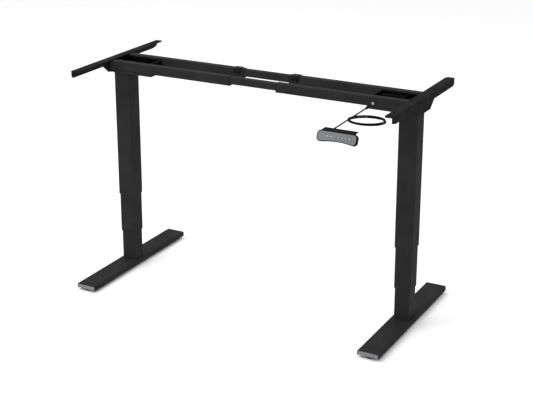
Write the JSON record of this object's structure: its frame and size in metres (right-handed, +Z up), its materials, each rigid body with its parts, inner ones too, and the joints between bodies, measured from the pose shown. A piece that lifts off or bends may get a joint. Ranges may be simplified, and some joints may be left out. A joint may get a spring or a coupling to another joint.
{
  "type": "height adjustable desk frame",
  "caption": "Height adjustable standing desk frame: two three-stage telescoping legs on flat feet, telescoping crossbars, side brackets and a wired handset.",
  "frame": {"origin": "on the floor, under the middle of the whole object's box; the legs' common plane is 108.75 mm behind it", "axes": "+X from the left leg to the right leg as the user sits, +Y away from the user, +Z up"},
  "size_m": [1.3924, 0.9216, 0.939],
  "materials": {
    "powder_black": "fine-textured powder coat",
    "black_abs": "moulded satin",
    "grey_face": "gloss acrylic",
    "key_cap": "gloss with a white symbol",
    "cable_jacket": "soft PVC",
    "slider_nylon": "moulded nylon",
    "glide_rubber": "moulded",
    "grey_cap": "moulded satin",
    "zinc_screw": "zinc plated",
    "screw_steel": "rolled, greased",
    "gear_casting": "cast, black paint",
    "motor_can": "drawn can, black paint",
    "clamp_black": "moulded"
  },
  "bodies": {
    "left_foot": {"left_foot_beam": "powder_black", "left_foot_end_caps": "grey_cap", "left_foot_bolts": "zinc_screw", "left_inner_tube": "powder_black", "left_inner_guides": "slider_nylon", "left_lower_nut": "slider_nylon"},
    "left_middle": {"left_middle_tube": "powder_black", "left_middle_guides": "slider_nylon", "left_middle_bearing": "gear_casting"},
    "left_head": {"left_outer_tube": "powder_black", "left_head_tray": "powder_black", "left_bracket": "powder_black", "left_head_screws": "zinc_screw", "left_gearbox": "gear_casting", "left_motor": "motor_can", "left_rail_fittings": "clamp_black", "left_front_rail": "powder_black", "left_rear_rail": "powder_black"},
    "left_upper_screw": {"left_upper_spindle": "screw_steel"},
    "left_lower_screw": {"left_lower_spindle": "screw_steel"},
    "left_front_leveller": {"left_front_glide": "glide_rubber"},
    "left_rear_leveller": {"left_rear_glide": "glide_rubber"},
    "right_foot": {"right_foot_beam": "powder_black", "right_foot_end_caps": "grey_cap", "right_foot_bolts": "zinc_screw", "right_inner_tube": "powder_black", "right_inner_guides": "slider_nylon", "right_lower_nut": "slider_nylon"},
    "right_middle": {"right_middle_tube": "powder_black", "right_middle_guides": "slider_nylon", "right_middle_bearing": "gear_casting"},
    "right_head": {"right_outer_tube": "powder_black", "right_head_tray": "powder_black", "right_bracket": "powder_black", "right_head_screws": "zinc_screw", "right_gearbox": "gear_casting", "right_motor": "motor_can", "right_rail_fittings": "clamp_black", "right_front_rail": "powder_black", "right_rear_rail": "powder_black", "handset_shell": "black_abs", "handset_face": "grey_face", "handset_cable": "cable_jacket", "handset_cable_coil": "cable_jacket", "cable_relief": "black_abs", "control_unit": "black_abs"},
    "right_upper_screw": {"right_upper_spindle": "screw_steel"},
    "right_lower_screw": {"right_lower_spindle": "screw_steel"},
    "right_front_leveller": {"right_front_glide": "glide_rubber"},
    "right_rear_leveller": {"right_rear_glide": "glide_rubber"},
    "crossbar": {"front_inner_bar": "powder_black", "rear_inner_bar": "powder_black", "bar_shoes": "slider_nylon"},
    "key_1": {"handset_key_1": "key_cap"},
    "key_2": {"handset_key_2": "key_cap"},
    "key_3": {"handset_key_3": "key_cap"},
    "key_4": {"handset_key_4": "key_cap"},
    "key_5": {"handset_key_5": "key_cap"},
    "key_6": {"handset_key_6": "key_cap"},
    "key_7": {"handset_key_7": "key_cap"}
  },
  "joints": [
    {"name": "left_lower_lift", "type": "slide", "parent": "left_foot", "child": "left_middle", "axis": [0, 0, 1], "range_m": [-0.1225, 0.153]},
    {"name": "left_upper_lift", "type": "slide", "parent": "left_middle", "child": "left_head", "axis": [0, 0, 1], "range_m": [-0.16353, 0.2042]},
    {"name": "width_left", "type": "slide", "parent": "left_head", "child": "crossbar", "axis": [1, 0, 0], "range_m": [-0.102, 0.2]},
    {"name": "width_right", "type": "slide", "parent": "crossbar", "child": "right_head", "axis": [1, 0, 0], "range_m": [-0.102, 0.2]},
    {"name": "right_upper_lift", "type": "slide", "parent": "right_head", "child": "right_middle", "axis": [0, 0, -1], "range_m": [-0.16353, 0.2042]},
    {"name": "right_lower_lift", "type": "slide", "parent": "right_middle", "child": "right_foot", "axis": [0, 0, -1], "range_m": [-0.1227, 0.1532]},
    {"name": "left_upper_screw_turn", "type": "hinge", "parent": "left_head", "child": "left_upper_screw", "pos_m": [-0.645, 0.10875, 0.6], "axis": [0, 0, 1], "range_deg": [-8585, 10720]},
    {"name": "left_lower_screw_turn", "type": "hinge", "parent": "left_middle", "child": "left_lower_screw", "pos_m": [-0.645, 0.10875, 0.6], "axis": [0, 0, 1], "range_deg": [-3685, 4600]},
    {"name": "left_front_level", "type": "slide", "parent": "left_foot", "child": "left_front_leveller", "axis": [0, 0, -1], "range_m": [0, 0.008]},
    {"name": "left_rear_level", "type": "slide", "parent": "left_foot", "child": "left_rear_leveller", "axis": [0, 0, -1], "range_m": [0, 0.008]},
    {"name": "right_upper_screw_turn", "type": "hinge", "parent": "right_head", "child": "right_upper_screw", "pos_m": [0.645, 0.10875, 0.6], "axis": [0, 0, 1], "range_deg": [-8585, 10720]},
    {"name": "right_lower_screw_turn", "type": "hinge", "parent": "right_middle", "child": "right_lower_screw", "pos_m": [0.645, 0.10875, 0.6], "axis": [0, 0, 1], "range_deg": [-3685, 4600]},
    {"name": "right_front_level", "type": "slide", "parent": "right_foot", "child": "right_front_leveller", "axis": [0, 0, -1], "range_m": [0, 0.008]},
    {"name": "right_rear_level", "type": "slide", "parent": "right_foot", "child": "right_rear_leveller", "axis": [0, 0, -1], "range_m": [0, 0.008]},
    {"name": "key_1_press", "type": "slide", "parent": "right_head", "child": "key_1", "axis": [0, 0.9368, -0.3498], "range_m": [0, 0.0008], "stiffness_N_per_m": 1500, "springref_m": -0.0004},
    {"name": "key_2_press", "type": "slide", "parent": "right_head", "child": "key_2", "axis": [0, 0.9368, -0.3498], "range_m": [0, 0.0008], "stiffness_N_per_m": 1500, "springref_m": -0.0004},
    {"name": "key_3_press", "type": "slide", "parent": "right_head", "child": "key_3", "axis": [0, 0.9368, -0.3498], "range_m": [0, 0.0008], "stiffness_N_per_m": 1500, "springref_m": -0.0004},
    {"name": "key_4_press", "type": "slide", "parent": "right_head", "child": "key_4", "axis": [0, 0.9368, -0.3498], "range_m": [0, 0.0008], "stiffness_N_per_m": 1500, "springref_m": -0.0004},
    {"name": "key_5_press", "type": "slide", "parent": "right_head", "child": "key_5", "axis": [0, 0.9368, -0.3498], "range_m": [0, 0.0008], "stiffness_N_per_m": 1500, "springref_m": -0.0004},
    {"name": "key_6_press", "type": "slide", "parent": "right_head", "child": "key_6", "axis": [0, 0.9368, -0.3498], "range_m": [0, 0.0008], "stiffness_N_per_m": 1500, "springref_m": -0.0004},
    {"name": "key_7_press", "type": "slide", "parent": "right_head", "child": "key_7", "axis": [0, 0.9368, -0.3498], "range_m": [0, 0.0008], "stiffness_N_per_m": 1500, "springref_m": -0.0004}
  ],
  "couplings": [
    {"joint": "left_upper_lift", "follows": "left_lower_lift", "ratio": 1.3333},
    {"joint": "right_upper_lift", "follows": "left_lower_lift", "ratio": 1.3333},
    {"joint": "right_lower_lift", "follows": "left_lower_lift", "ratio": 1},
    {"joint": "width_right", "follows": "width_left", "ratio": 1},
    {"joint": "left_upper_screw_turn", "follows": "left_lower_lift", "rad_per_m": 1221.7},
    {"joint": "left_lower_screw_turn", "follows": "left_lower_lift", "rad_per_m": 523.6},
    {"joint": "right_upper_screw_turn", "follows": "left_lower_lift", "rad_per_m": 1221.7},
    {"joint": "right_lower_screw_turn", "follows": "left_lower_lift", "rad_per_m": 523.6}
  ]
}
